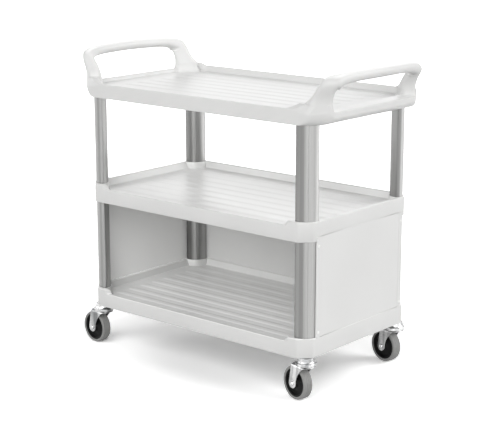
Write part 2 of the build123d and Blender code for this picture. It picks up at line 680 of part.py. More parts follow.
def tyre():
    """Grey tyre moulded on the hub, its shoulders sloped."""
    seat = WHEEL_RADIUS - TYRE_DEPTH
    outline = Pos((seat + WHEEL_RADIUS) / 2, 0) * Rectangle(TYRE_DEPTH, TYRE_WIDTH)
    outline = chamfer(outline.vertices().group_by(Axis.X)[-1], TYRE_SHOULDER)
    return on_axle(revolve(Plane.XZ * outline, Axis.Z))


def main():
    upper_screws, lower_screws = screw_levels()
    rivets = [place * rivet(0) for place in rivet_places()]
    stop = MIDDLE_SKIRT_Z + RIM_RISE - SOCKET_DEPTH
    upper_ends = (stop + UPRIGHT_SEAT, TOP_SKIRT_Z + TOP_SOCKET_DEPTH - UPRIGHT_SEAT)
    lower_ends = (BOTTOM_SKIRT_Z + RIM_RISE - SOCKET_DEPTH + UPRIGHT_SEAT, stop - WALL - UPRIGHT_SEAT)
    save(top_shelf(), "top_shelf")
    save(middle_shelf(), "middle_shelf")
    save(bottom_shelf(), "bottom_shelf")
    save(handle(-1), "left_handle")
    save(handle(1), "right_handle")
    save(end_panel(-1), "left_end_panel")
    save(end_panel(1), "right_end_panel")
    save(back_panel(), "back_panel")
    save(group(rivets), "panel_rivets")
    screws = []
    for corner, (sx, sy) in SIDES.items():
        save(upright(corner, *upper_ends, upper_screws), "upper_upright_" + corner)
        lower = upright(corner, *lower_ends, lower_screws)
        for piece in rivets:
            lower -= piece
        save(lower, "lower_upright_" + corner)
        screws += [upright_screw(corner, z, 0) for z in upper_screws + lower_screws]
        place = Pos(sx * STEM_X, sy * STEM_Y, 0) * Rot(0, 0, CASTER_TURNS[corner])
        for make in (stem, cup, ball_ring, fork, axle_bolt, axle_nut, bush, hub, tyre):
            save(place * make(), make.__name__ + "_" + corner)
    save(group(screws), "upright_screws")
    save(group(handle_screw(sx, sy, 0) for sx, sy in SIDES.values()), "handle_screws")
    save(group(stem_nut(corner) for corner in SIDES), "stem_nuts")


main()
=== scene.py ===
import math

import bpy
import numpy as np
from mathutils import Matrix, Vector


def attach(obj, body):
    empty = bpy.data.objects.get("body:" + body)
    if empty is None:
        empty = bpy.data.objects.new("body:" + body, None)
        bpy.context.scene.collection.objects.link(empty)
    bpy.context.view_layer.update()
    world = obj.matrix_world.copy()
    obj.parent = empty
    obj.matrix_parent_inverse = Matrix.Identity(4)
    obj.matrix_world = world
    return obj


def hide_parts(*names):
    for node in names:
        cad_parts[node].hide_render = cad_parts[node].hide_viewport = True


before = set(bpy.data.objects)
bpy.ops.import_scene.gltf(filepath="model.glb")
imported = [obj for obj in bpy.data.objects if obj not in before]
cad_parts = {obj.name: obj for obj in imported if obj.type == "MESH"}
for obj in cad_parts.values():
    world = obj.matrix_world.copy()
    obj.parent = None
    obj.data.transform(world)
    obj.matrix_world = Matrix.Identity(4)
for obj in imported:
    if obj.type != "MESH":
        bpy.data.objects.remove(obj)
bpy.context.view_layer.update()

# Sizes of the cart in millimetres: +Z up, X from grip to grip, the open front at -Y.
MM = 0.001
DIAGONAL = math.sqrt(2)
ON_FACE = 1.0  # a point that is nearer than this to a face lies on it
CORNERS = {"front_left": (-1, -1, -4.0), "front_right": (1, -1, -13.0),
           "rear_left": (-1, 1, -7.0), "rear_right": (1, 1, -10.0)}  # sides in X and Y, caster's turn

# Tray mouldings
HALF_X, HALF_Y = 439.0, 255.0
BOTTOM_SKIRT, MIDDLE_SKIRT, TOP_SKIRT = 137.0, 477.0, 807.0
DECK_RISE, FRONT_RIM_RISE, RIM_RISE = 36.0, 44.5, 57.5
WALL, CORNER_ROUNDING, DECK_MARGIN = 3.5, 14.0, 22.0
RIB_COUNT, RIB_PITCH, RIB_WIDTH, RIB_RISE = 8, 54.0, 22.0, 1.6
RIB_INSET, RIB_SLOPE = 63.4, 5.5
UNDER_RIB, UNDER_RIB_X, UNDER_RIB_Y = 3.0, 220.0, 85.0
UNDER_RIB_DEPTH, UNDER_RIB_END = 9.0, 2.0

# Oval uprights and the collars that hold them
OVAL_A, OVAL_B, OVAL_END = 33.0, 19.2, 11.0
OVAL_WALL, OVAL_GROOVE, OVAL_GROOVE_DEPTH = 2.0, 2.4, 0.9
GROOVE_REACH, GROOVE_STEEPNESS = 1.6, 1.3
SOCKET_WALL, SOCKET_SIDE = 3.0, 10.4
SOCKET_DEPTH, TOP_SOCKET_DEPTH, UPRIGHT_PLAY = 38.0, 28.0, 0.2
COLLAR, COLLAR_PLAY, COLLAR_FOOT, COLLAR_PROUD = 2.8, 0.25, 2.0, 0.2
OVAL_SHIFT = (OVAL_A - OVAL_END) / DIAGONAL
OVAL_REACH = OVAL_SHIFT + OVAL_END
UPRIGHT_X = HALF_X - SOCKET_WALL - OVAL_REACH
UPRIGHT_Y = HALF_Y - SOCKET_SIDE - OVAL_REACH
CORNER_CUT = HALF_X + HALF_Y - UPRIGHT_X - UPRIGHT_Y - DIAGONAL * (OVAL_B + SOCKET_WALL)
DIP_GAP, DIP_RUN = 6.0, 16.0
DIP_HIGH = UPRIGHT_X - OVAL_REACH - DIP_GAP

# Top shelf: flared ends, rims, rear ridge and the ramps up to the handle feet
TOP_DECK, TOP_RIM, TOP_RIM_WIDTH = 839.0, 850.5, 15.5
TOP_DECK_OVER, TOP_DECK_MARGIN, TOP_COLLAR_DROP = 5.0, 17.0, 1.5
NOSE_REACH, NOSE_CORNER_REACH, NOSE_DROP, NOSE_WIDTH = 48.6, 19.4, 5.0, 32.0
NOSE_ROUNDING, TRAY_ROUNDING = 39.0, 28.0
FLARE_HEIGHT, FLARE_POWER = 0.64, 0.56
SHOULDER, NOSE_SHOULDER, FOOT_SHOULDER = 2.4, NOSE_DROP + 2.6, 1.0
RIDGE_RISE, RIDGE_PAST, RIDGE_RUN = 7.5, 30.0, 20.0
FOOT_RISE, RAMP_START, RAMP_END, RAMP_POWER = 16.0, 362.0, 416.0, 2.0
END_RAMP_START, END_RAMP_RUN = 18.0, 19.0
RAMP_INSET, INSET_BELOW_RIM, INSET_RUN = 11.0, 12.0, 28.0

# Handles and the bosses under them
FOOT_X, FOOT_Y, FOOT_Z = 447.0, 206.0, 866.8
GRIP_X, GRIP_Z, GRIP_RADIUS = 501.0, 938.5, 15.0
LEG_HALF_WIDTH, LEG_HALF_DEPTH, LEG_POWER = 26.5, 20.0, 3.2
FOOT_HALF_WIDTH, FOOT_HALF_DEPTH, FOOT_FLARE_POWER = 30.0, 23.2, 3
FOOT_SWEEP, FOOT_SWEEP_RISE, FOOT_SWEEP_POWER = 15.0, 36.0, 2.2
ARCH_POWER, LEG_LEAN, LEAN_POWER, BEND_POWER = 8.0, 0.5, 1.3, 0.35
GRIP_DROP, GRIP_POWER = 5.5, 10
BOSS_SPREAD, BOSS_POWER, BOSS_SINK, BOSS_LIP = 9.0, 2.4, 2.5, 0.3
BOSS_GAP, BOSS_FACE_GAP, BOSS_STRETCH = 0.1, 1.0, 1.075
FACET_SUM, FACET_GAP = 686.3, 0.6
# Upright planes that round off the two ends of a corner's facet: plan normal, distance, share of the inset
FACET_END_PLANES = ((0.383, 0.924, 397.0, 0.54), (0.924, 0.383, 522.8, 0.0))

# Panels and their rivets
PANEL, PANEL_BAND, PANEL_BAND_RISE, PANEL_END_INSET = 3.0, 18.0, 1.2, 10.0
PANEL_LAP, PANEL_PLAY, PANEL_SIDE_PLAY, TUCK_OVERLAP = 13.0, 0.3, 0.6, 1.0
PANEL_HALF_X = HALF_X - CORNER_CUT - PANEL_SIDE_PLAY
PANEL_HALF_Y = HALF_Y - CORNER_CUT - PANEL_SIDE_PLAY - PANEL_END_INSET
END_PANEL = HALF_X - SOCKET_WALL + PANEL_PLAY
BACK_PANEL = UPRIGHT_Y + OVAL_REACH + PANEL_PLAY
RIVET_RADIUS, RIVET_SHANK, RIVET_LENGTH = 4.5, 2.0, 8.5
RIVET_FLANGE, RIVET_DOME, RIVET_EDGE, RIVET_UP = 0.35, 1.2, 8.0, 15.0

# Casters
WHEEL, TRAIL, STEM_OFFSET = 51.0, 35.0, 5.0
STEM_X, STEM_Y = UPRIGHT_X + STEM_OFFSET / DIAGONAL, UPRIGHT_Y + STEM_OFFSET / DIAGONAL
CROWN_TOP, CROWN_RADIUS = 112.0, 30.0
FORK_FACE, FORK_STEEL, FORK_PLAY, FORK_BEND = 22.0, 3.0, 0.1, 7.0
FORK_END, FORK_HEEL, FORK_SWELL = 14.5, 39.0, 0.0105
FORK_RIB_RISE, FORK_RIB_WIDTH, FORK_RIB_BEND = 1.3, 3.0, 0.5
FORK_RIB_LOW, FORK_RIB_LOW_RUN, FORK_RIB_HIGH, FORK_RIB_HIGH_RUN = 62.0, 10.0, 108.0, 8.0
TREAD_HALF, TREAD_CROWN = 9.5, 0.5
TREAD_GROOVES, TREAD_GROOVE_DEPTH, TREAD_GROOVE_WIDTH = (-6.2, 0.0, 6.2), 1.3, 0.9

# Stations round a shelf's outline: straight edges in turn from the front right corner, and bends between.
EDGE_STEPS = (9, 40, 9, 110, 9, 40, 9, 110)
BEND_STEPS = 9
OVAL_STEPS, GROOVE_STEPS, GROOVE_DEGREES = 120, 17, 3.2
LEG_STEPS, ARCH_STEPS, BOSS_STEPS = 72, 221, 15
WHEEL_STEPS, HUB_STEPS, CUP_STEPS, AXLE_STEPS, RIVET_STEPS = 112, 96, 64, 40, 28


def smooth(t):
    """Share from 0 to 1 that starts and ends level: three times the square less twice the cube."""
    t = np.clip(t, 0, 1)
    return t * t * (3 - 2 * t)


def crowded(t):
    """Share from 0 to 1 whose even steps crowd toward both ends: half of one less the cosine."""
    return (1 - np.cos(np.pi * t)) / 2


def curve(enter, corner, leave, t):
    """Quadratic curve between two points, pulled toward a corner: each point is weighted by the share left
    or the share gone, squared, and the corner by twice their product."""
    return (1 - t) ** 2 * enter + 2 * t * (1 - t) * corner + t**2 * leave


def soften(points, cut, steps=6):
    """Polyline whose inner corners become quadratic curves that start and end a cut away from the corner,
    or a little less than half an edge away where the edge is short."""
    p = np.asarray(points, float)
    most = 0.45
    into = p[1:-1] - p[:-2]
    out = p[2:] - p[1:-1]
    long_in = np.linalg.norm(into, axis=1, keepdims=True)
    long_out = np.linalg.norm(out, axis=1, keepdims=True)
    enter = p[1:-1] - into / long_in * np.minimum(cut, long_in * most)
    leave = p[1:-1] + out / long_out * np.minimum(cut, long_out * most)
    t = np.linspace(0, 1, steps)[None, :, None]
    bends = curve(enter[:, None], p[1:-1, None], leave[:, None], t)
    return np.concatenate([p[:1], bends.reshape(-1, p.shape[1]), p[-1:]])


def turned(profile, steps):
    """Profile of radius and height carried round the Z axis."""
    a = np.linspace(0, 2 * np.pi, steps, endpoint=False)
    r, h = profile[:, :1], profile[:, 1:]
    return np.stack(np.broadcast_arrays(r * np.cos(a), r * np.sin(a), h), -1)


def stacked(flats, heights):
    """Rows of flat rings lifted to their heights."""
    return np.stack([np.column_stack([f, np.full(len(f), z)]) for f, z in zip(flats, heights)])


def skin(points, close_rows=False, close_columns=True, caps=False, solid=True):
    """Grid of points as faces between neighbours; caps join the first and last rows to their middles.

    A closed skin with a negative volume is turned inside out, so that its faces point outwards."""
    rows, columns = points.shape[:2]
    flat = points.reshape(-1, 3)
    i = np.arange(rows if close_rows else rows - 1)[:, None]
    j = np.arange(columns if close_columns else columns - 1)[None, :]
    down, right = (i + 1) % rows, (j + 1) % columns
    corners = (i * columns + j, i * columns + right, down * columns + right, down * columns + j)
    quads = np.stack(np.broadcast_arrays(*corners), -1).reshape(-1, 4)
    tris = np.empty((0, 3), int)
    if caps:
        first_middle = np.full(columns, len(flat))
        flat = np.concatenate([flat, points[:1].mean(1), points[-1:].mean(1)])
        here = np.arange(columns)
        after = (here + 1) % columns
        last = (rows - 1) * columns
        tris = np.concatenate([np.stack([first_middle, after, here], -1),
                               np.stack([first_middle + 1, last + here, last + after], -1)])
    if solid:
        thirds = np.concatenate([quads[:, [0, 1, 2]], quads[:, [0, 2, 3]], tris])
        a, b, c = (flat[thirds[:, m]] for m in range(3))
        if np.einsum("ij,ij->", a, np.cross(b, c)) < 0:
            quads, tris = quads[:, ::-1], tris[:, ::-1]
    return flat, quads, tris


def piece(name, skins, coat, body, nodes, sharp=38, painted_light_side=None, inward=0.0):
    """Joins skins into one object in metres, smooth except along edges sharper than the angle given.

    A piece given a painted light side is marked with how far each point looks toward that side, which its
    material paints whiter as if lit: painted light and shade. The mark is the part of its normal along the
    given direction or, where that is more, the inward share of the part that looks across toward the cart's
    middle, as a tray's long walls do. The mark eases from 0 to 1."""
    mark_start, mark_run = 0.5, 0.4
    points = np.concatenate([s[0] for s in skins])
    faces = []
    start = 0
    for own_points, quads, tris in skins:
        faces += (quads + start).tolist() + (tris + start).tolist()
        start += len(own_points)
    mesh = bpy.data.meshes.new(name)
    mesh.from_pydata((points * MM).tolist(), [], faces)
    mesh.polygons.foreach_set("use_smooth", np.ones(len(faces), bool))
    mesh.set_sharp_from_angle(angle=math.radians(sharp))
    # Painted light and shade: the mark says how far each point faces the side that is painted whiter as if
    # lit
    if painted_light_side:
        normals = np.empty(points.size)
        mesh.vertices.foreach_get("normal", normals)
        normals = normals.reshape(-1, 3)
        toward_middle = -np.sign(points[:, 1]) * normals[:, 1]
        looks = np.maximum(normals @ painted_light_side, inward * toward_middle)
        painted_light = mesh.attributes.new("painted_light", "FLOAT", "POINT")
        painted_light.data.foreach_set("value", smooth((looks - mark_start) / mark_run).astype(np.float32))
    mesh.materials.append(coat)
    obj = bpy.data.objects.new(name, mesh)
    bpy.context.collection.objects.link(obj)
    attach(obj, body)
    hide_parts(*nodes)
    return obj


# Finishes


def linear(code):
    """sRGB hex colour as linear red, green, blue and alpha."""
    c = np.array([int(code[k:k + 2], 16) for k in (1, 3, 5)]) / 255
    return (*np.where(c <= 0.04045, c / 12.92, ((c + 0.055) / 1.055) ** 2.4), 1.0)


def add(tree, kind, inputs=None, **settings):
    """Adds one node, sets its properties, and fills its inputs: a value is set, an output is linked, and a
    whole node is linked by its first output."""
    made = tree.nodes.new(kind)
    for key, value in settings.items():
        setattr(made, key, value)
    for key, value in (inputs or {}).items():
        if isinstance(value, bpy.types.Node):
            value = value.outputs[0]
        if isinstance(value, bpy.types.NodeSocket):
            tree.links.new(value, made.inputs[key])
        else:
            made.inputs[key].default_value = value
    return made


def finish(name, **fixed):
    """New material with a principled shader; fixed values go straight onto its sockets."""
    made = bpy.data.materials.new(name)
    made.use_nodes = True
    tree = made.node_tree
    shader = tree.nodes["Principled BSDF"]
    for key, value in fixed.items():
        shader.inputs[key.replace("_", " ")].default_value = value
    place = add(tree, "ShaderNodeTexCoord").outputs["Object"]
    return made, tree, shader, place


def blend(tree, pattern, dark, light, low=0.3, high=0.7):
    """Runs a pattern through a ramp between two colours."""
    ramp = add(tree, "ShaderNodeValToRGB", {"Fac": pattern})
    for stop, position, code in zip(ramp.color_ramp.elements, (low, high), (dark, light)):
        stop.position = position
        stop.color = linear(code)
    return ramp.outputs["Color"]


def tone(tree, shader, *ramp):
    """Gives the shader's base colour a pattern run between two colours."""
    tree.links.new(blend(tree, *ramp), shader.inputs["Base Color"])


def two_sided(tree, shader, plain, painted_light_side):
    """Colours a piece by its painted light mark, from its side painted as shaded to its side painted as lit.
    """
    painted_light = add(tree, "ShaderNodeAttribute", attribute_name="painted_light").outputs["Fac"]
    both = add(tree, "ShaderNodeMix", {"Factor": painted_light, 6: plain, 7: painted_light_side}, data_type="RGBA")
    tree.links.new(both.outputs[2], shader.inputs["Base Color"])


def spread(tree, shader, pattern, low, high):
    """Lets a pattern vary the shader's roughness between two values."""
    span = add(tree, "ShaderNodeMapRange", {"Value": pattern, "To Min": low, "To Max": high})
    tree.links.new(span.outputs["Result"], shader.inputs["Roughness"])


def relief(tree, shader, pattern, depth_mm, strength):
    """Lets a pattern raise the surface by a depth in millimetres."""
    bump = add(tree, "ShaderNodeBump", {"Height": pattern, "Distance": depth_mm * MM, "Strength": strength})
    tree.links.new(bump.outputs["Normal"], shader.inputs["Normal"])


def moulded_white():
    """Injection-moulded polypropylene: near white, a soft gloss, faint flow clouds about 180 mm across and a
    fine mould grain.

    Faces that look up, and the trays' inner walls, are painted whiter as if lit, and the skirts and other
    side
    faces greyer as if shaded: painted light and shade. The grain is about 0.8 mm in life; it is drawn at 2.5
    mm so that it shows."""
    made, tree, shader, place = finish("polypropylene_moulded_white", IOR=1.49, Specular_IOR_Level=0.3)
    clouds = add(tree, "ShaderNodeTexNoise", {"Vector": place, "Scale": 1 / (180 * MM), "Detail": 2.0})
    grain = add(tree, "ShaderNodeTexNoise", {"Vector": place, "Scale": 1 / (2.5 * MM), "Detail": 1.0})
    # Painted light and shade: side faces take the greyer pair, faces marked as lit the whiter pair
    shaded_sides = blend(tree, clouds, "#cdcdcc", "#d1d1d0")
    lit_tops = blend(tree, clouds, "#f4f4f3", "#f7f7f6")
    two_sided(tree, shader, shaded_sides, lit_tops)
    spread(tree, shader, clouds, 0.26, 0.34)
    relief(tree, shader, grain, 0.05, 0.35)
    return made


def panel_sheet():
    """Extruded PVC sheet: off-white satin, with clouds about 250 mm across and a slow orange-peel wave about
    6 mm across. Its inner faces are painted whiter as if lit, against the shade inside the cart, and its
    outer faces greyer as if shaded: painted light and shade."""
    made, tree, shader, place = finish("pvc_sheet_extruded_white", IOR=1.53)
    clouds = add(tree, "ShaderNodeTexNoise", {"Vector": place, "Scale": 1 / (250 * MM), "Detail": 1.0})
    peel = add(tree, "ShaderNodeTexNoise", {"Vector": place, "Scale": 1 / (6 * MM), "Detail": 1.0})
    # Painted light and shade: outer faces take the greyer pair, inner faces the whiter pair that stands in
    # for light inside the cart
    outside = blend(tree, clouds, "#cacac9", "#cececd")
    inside = blend(tree, clouds, "#f3f3f2", "#f7f7f6")
    two_sided(tree, shader, outside, inside)
    spread(tree, shader, clouds, 0.32, 0.42)
    relief(tree, shader, peel, 0.05, 0.3)
    return made


def drawn_aluminium():
    """Extruded and satin-anodised aluminium: mid grey metal with fine die lines and soft bands about 22 mm
    broad along the length, the bands a painted reflection of the surroundings; the faces toward +X are
    painted brighter, a painted highlight, as they read in the photograph.

    The die lines are about 0.3 mm apart in life; they are drawn 2 mm apart so that they show."""
    made, tree, shader, place = finish("aluminium_extruded_anodised", Metallic=1.0)
    along = add(tree, "ShaderNodeMapping", {"Vector": place, "Scale": (1.0, 1.0, 0.004)})
    lines = add(tree, "ShaderNodeTexNoise", {"Vector": along, "Scale": 1 / (2 * MM), "Detail": 2.0})
    # Painted reflection: the soft bands along the length stand in for the surroundings' reflections
    bands = add(tree, "ShaderNodeTexNoise", {"Vector": along, "Scale": 1 / (22 * MM), "Detail": 1.0})
    drawn = add(tree, "ShaderNodeMath", {0: lines.outputs[0], 1: 0.3, 2: bands}, operation="MULTIPLY_ADD")
    # Painted highlight: faces toward +X take the bright pair, the other faces the dim pair
    dim = blend(tree, drawn, "#747473", "#949493", 0.5, 0.8)
    bright = blend(tree, drawn, "#b8b8b7", "#d2d2d1", 0.5, 0.8)
    two_sided(tree, shader, dim, bright)
    spread(tree, shader, lines, 0.24, 0.36)
    relief(tree, shader, lines, 0.03, 0.4)
    return made


def plated_steel():
    """Pressed steel with bright zinc plating: light metal with faint darker streaks down its height, about
    20 mm apart, which are painted reflections of darker surroundings, and a soft spangle of 4 mm."""
    made, tree, shader, place = finish("steel_pressed_zinc", Metallic=1.0)
    spangle = add(tree, "ShaderNodeTexNoise", {"Vector": place, "Scale": 1 / (4 * MM), "Detail": 3.0})
    down = add(tree, "ShaderNodeMapping", {"Vector": place, "Scale": (1.0, 1.0, 0.12)})
    streaks = add(tree, "ShaderNodeTexNoise", {"Vector": down, "Scale": 1 / (20 * MM), "Detail": 1.0})
    # Painted reflection: the darker streaks stand in for dark surroundings reflected in the plating
    tone(tree, shader, streaks, "#7e7f80", "#cdcdcd", 0.34, 0.62)
    spread(tree, shader, spangle, 0.18, 0.32)
    relief(tree, shader, spangle, 0.04, 0.25)
    return made


def grey_rubber():
    """Moulded thermoplastic rubber: matt mid grey with a fine dusty grain, drawn at 1.5 mm."""
    made, tree, shader, place = finish("rubber_moulded_grey", IOR=1.5)
    dust = add(tree, "ShaderNodeTexNoise", {"Vector": place, "Scale": 1 / (1.5 * MM), "Detail": 2.0})
    tone(tree, shader, dust, "#757574", "#878785")
    spread(tree, shader, dust, 0.5, 0.68)
    relief(tree, shader, dust, 0.06, 0.4)
    return made


def moulded_black():
    """Moulded black polypropylene: deep black, satin, with a faint grain drawn at 2 mm."""
    made, tree, shader, place = finish("polypropylene_moulded_black", IOR=1.49, Specular_IOR_Level=0.12)
    grain = add(tree, "ShaderNodeTexNoise", {"Vector": place, "Scale": 1 / (2 * MM), "Detail": 2.0})
    tone(tree, shader, grain, "#0a0a0a", "#151515")
    spread(tree, shader, grain, 0.38, 0.52)
    relief(tree, shader, grain, 0.05, 0.4)
    return made


def rivet_nylon():
    """Moulded nylon push rivet: light grey, satin, a little mottled over 3 mm."""
    made, tree, shader, place = finish("nylon_moulded_grey", IOR=1.53)
    mottle = add(tree, "ShaderNodeTexNoise", {"Vector": place, "Scale": 1 / (3 * MM), "Detail": 1.0})
    tone(tree, shader, mottle, "#d8d8d6", "#e2e2e0")
    spread(tree, shader, mottle, 0.35, 0.5)
    return made


WHITE, SHEET, ALUMINIUM, ZINC = moulded_white(), panel_sheet(), drawn_aluminium(), plated_steel()
RUBBER, BLACK, NYLON = grey_rubber(), moulded_black(), rivet_nylon()


# Shelves


def outline(half_x, half_y, cut, rounding):
    """Plan rings of a rectangle with 45 degree corners, one ring for each row of sizes.

    Each of the eight corners is a quadratic curve that leaves both edges tangentially, at the rounding
    times the tangent of half the corner's turn; stations crowd toward the ends of each straight edge."""
    half_turn = math.radians(22.5)
    half_x, half_y, cut, rounding = np.broadcast_arrays(*np.atleast_1d(half_x, half_y, cut, rounding))
    in_x, in_y = half_x - cut, half_y - cut
    x = np.stack([in_x, half_x, half_x, in_x, -in_x, -half_x, -half_x, -in_x], -1)
    y = np.stack([-half_y, -in_y, in_y, half_y, half_y, in_y, -in_y, -half_y], -1)
    corner = np.stack([x, y], -1)
    ahead = np.roll(corner, -1, 1) - corner
    ahead /= np.linalg.norm(ahead, axis=-1, keepdims=True)
    behind = np.roll(ahead, 1, 1)
    reach = (rounding * math.tan(half_turn))[:, None, None]
    enter, leave = corner - behind * reach, corner + ahead * reach
    following = np.roll(enter, -1, 1)
    t = np.linspace(0, 1, BEND_STEPS)[:, None]
    parts = []
    for k, steps in enumerate(EDGE_STEPS):
        share = crowded(np.arange(1, steps + 1) / (steps + 1))[:, None]
        edge = leave[:, k, None] * (1 - share) + following[:, k, None] * share
        parts += [curve(enter[:, k, None], corner[:, k, None], leave[:, k, None], t), edge]
    return np.concatenate(parts, 1)


def endness():
    """Share of end form at each station of an outline: 0 along the long sides, 1 along the ends."""
    of_corner = (0, 1, 1, 0, 0, 1, 1, 0)
    parts = []
    for here, after, steps in zip(of_corner, of_corner[1:] + of_corner[:1], EDGE_STEPS):
        share = smooth(np.arange(1, steps + 1) / (steps + 1))
        parts += [np.full(BEND_STEPS, here, float), here * (1 - share) + after * share]
    return np.concatenate(parts)


def oval_ring(grow=0.0, groove=0.0):
    """Upright's oval from its outward direction: arc centre of that direction plus the arc's radius along it.

    Four arcs meet tangentially; a groove dips the middle of each broad side by a rounded notch, which is
    full near its middle line and gone a little past its half width."""
    flank = (OVAL_A**2 - 2 * OVAL_A * OVAL_END + OVAL_B**2) / (2 * (OVAL_B - OVAL_END))
    meet = math.atan2(flank - OVAL_B, OVAL_A - OVAL_END)
    fine = np.radians(np.linspace(-GROOVE_DEGREES, GROOVE_DEGREES, GROOVE_STEPS))
    even = np.linspace(0, 2 * np.pi, OVAL_STEPS, endpoint=False)
    a = np.unique(np.concatenate([even, np.pi / 2 + fine, 1.5 * np.pi + fine]).round(9))
    from_flat = np.abs(np.abs((a + np.pi) % (2 * np.pi) - np.pi) - np.pi / 2)
    on_flank = from_flat < np.pi / 2 - meet
    x0 = np.where(on_flank, 0, np.sign(np.cos(a)) * (OVAL_A - OVAL_END))
    y0 = np.where(on_flank, -np.sign(np.sin(a)) * (flank - OVAL_B), 0)
    half_widths = from_flat * flank / (OVAL_GROOVE / 2)
    notch = groove * smooth(GROOVE_REACH - GROOVE_STEEPNESS * half_widths)
    r = np.where(on_flank, flank, OVAL_END) + grow - notch
    return np.stack([x0 + r * np.cos(a), y0 + r * np.sin(a)], -1)


def at_corner(flat, corner):
    """Turns an oval's flat points square to a corner's diagonal and moves them to that corner."""
    sx, sy, _ = CORNERS[corner]
    turn = math.radians(-45 * sx * sy)
    c, s = math.cos(turn), math.sin(turn)
    return flat @ np.array([[c, s], [-s, c]]) + (sx * UPRIGHT_X, sy * UPRIGHT_Y)


def socket(corner, low, high):
    """Collar round an upright: the oval grown to the collar's wall, with a rounded lip, inside and out."""
    profile = [  # growth of the oval, height
        (COLLAR, low), (COLLAR, high - 1.2), (2.6, high - 0.5), (2.1, high - 0.05), (1.2, high),
        (0.6, high - 0.2), (COLLAR_PLAY, high - 0.8), (COLLAR_PLAY, low)]
    grows, heights = zip(*profile)
    return skin(stacked([at_corner(oval_ring(g), corner) for g in grows], heights), close_rows=True)


def bar(x0, x1, y0, y1, z0, z1):
    """Plain stiffening rib: a rectangle in plan between two heights."""
    ring = np.array([(x0, y0), (x1, y0), (x1, y1), (x0, y1)], float)
    return skin(stacked([ring, ring], (z0, z1)), caps=True)


def under_ribs(deck):
    """Crossed ribs below a deck, each running into the skirt's wall."""
    low, high, half = deck - WALL - UNDER_RIB_DEPTH, deck - WALL / 2, UNDER_RIB / 2
    end_x, end_y = HALF_X - UNDER_RIB_END, HALF_Y - UNDER_RIB_END
    ribs = [bar(-end_x, end_x, y - half, y + half, low, high) for y in (-UNDER_RIB_Y, UNDER_RIB_Y)]
    ribs += [bar(x - half, x + half, -end_y, end_y, low, high) for x in (-UNDER_RIB_X, 0, UNDER_RIB_X)]
    return ribs


def deck_sheet(half_x, half_y, deck):
    """Ribbed deck: height is the deck plus a rib's rise where the distance to the nearest rib's
    straight middle line is under half its width, falling smoothly over the rib's sloping side."""
    middles = (np.arange(RIB_COUNT) - (RIB_COUNT - 1) / 2) * RIB_PITCH
    edge = RIB_WIDTH / 2 + np.linspace(-RIB_SLOPE, RIB_SLOPE, 7)
    over_ribs = middles[:, None] + np.concatenate([-edge[::-1], edge])
    y = np.sort(np.concatenate([[-half_y], over_ribs.ravel(), [half_y]]))
    run = HALF_X - RIB_INSET - RIB_WIDTH / 2
    round_end = run + np.linspace(0, RIB_WIDTH / 2 + RIB_SLOPE, 14)
    straight = np.linspace(-run, run, 41)[1:-1]
    x = np.concatenate([[-half_x], -round_end[::-1], straight, round_end, [half_x]])
    gx, gy = np.meshgrid(x, y, indexing="ij")
    off_y = np.abs(gy[..., None] - middles).min(-1)
    off_x = np.maximum(np.abs(gx) - run, 0)
    away = np.hypot(off_x, off_y)
    rise = RIB_RISE * smooth((RIB_WIDTH / 2 + RIB_SLOPE - away) / (2 * RIB_SLOPE))
    grid = np.stack([gx, gy, deck + rise], -1)
    return skin(grid[:, ::-1], close_columns=False, solid=False)


def tray_shelf(name, skirt, painted_light):
    """Tray moulding: a wall profile carried round the outline, from the deck's edge up the sloped inner
    side, over the rim and down the skirt; along the front the rim dips, easing up to the uprights."""
    deck, rim = skirt + DECK_RISE, skirt + RIM_RISE
    base = outline(HALF_X, HALF_Y, CORNER_CUT, CORNER_ROUNDING)[0]
    dip = smooth((DIP_HIGH - np.abs(base[:, 0])) / DIP_RUN) * (base[:, 1] < -HALF_Y + ON_FACE)
    crest = rim - (RIM_RISE - FRONT_RIM_RISE) * dip
    profile = [  # inset, height, share of the crest that the height follows
        (27.0, deck - 1.0, 0), (23.0, deck - 0.1, 0), (21.2, deck + 0.7, 0), (19.8, deck + 2.6, 0),
        (13.4, -2.6, 1), (12.4, -1.0, 1), (11.2, -0.2, 1), (9.8, 0.0, 1), (3.4, 0.0, 1), (2.0, -0.25, 1),
        (0.9, -0.9, 1), (0.2, -2.0, 1), (0.0, -3.4, 1), (0.0, skirt + 1.4, 0), (0.3, skirt + 0.5, 0),
        (1.0, skirt, 0), (2.8, skirt, 0), (WALL, skirt + 0.5, 0), (WALL, deck - WALL, 0)]
    inset, height, follow = (np.array(v) for v in zip(*profile))
    z = height[:, None] + follow[:, None] * crest
    rings = outline(HALF_X - inset, HALF_Y - inset, CORNER_CUT, CORNER_ROUNDING)
    wall = skin(np.concatenate([rings, z[..., None]], -1), caps=True)
    skins = [wall, deck_sheet(HALF_X - DECK_MARGIN, HALF_Y - DECK_MARGIN, deck)] + under_ribs(deck)
    skins += [socket(corner, skirt + COLLAR_FOOT, rim + COLLAR_PROUD) for corner in CORNERS]
    # Decks and inner walls are painted whiter as if lit, skirts greyer as if shaded
    return piece(name, skins, WHITE, "cart", [name], painted_light_side=(0, 0, painted_light), inward=0.9)


def drawn_in(z):
    """How far the top shelf's long faces draw in at a height beside the handle feet: a smooth step of the
    height that starts below the rim."""
    return RAMP_INSET * smooth((z - TOP_RIM + INSET_BELOW_RIM) / INSET_RUN)


def leg_section(half_width, half_depth, power):
    """Rounded section of a handle leg: a superellipse of the given power, as flat points."""
    a = np.linspace(0, 2 * np.pi, LEG_STEPS, endpoint=False)
    c, s = np.cos(a), np.sin(a)
    return np.stack([half_width * np.sign(c) * np.abs(c) ** (2 / power),
                     half_depth * np.sign(s) * np.abs(s) ** (2 / power)], -1)


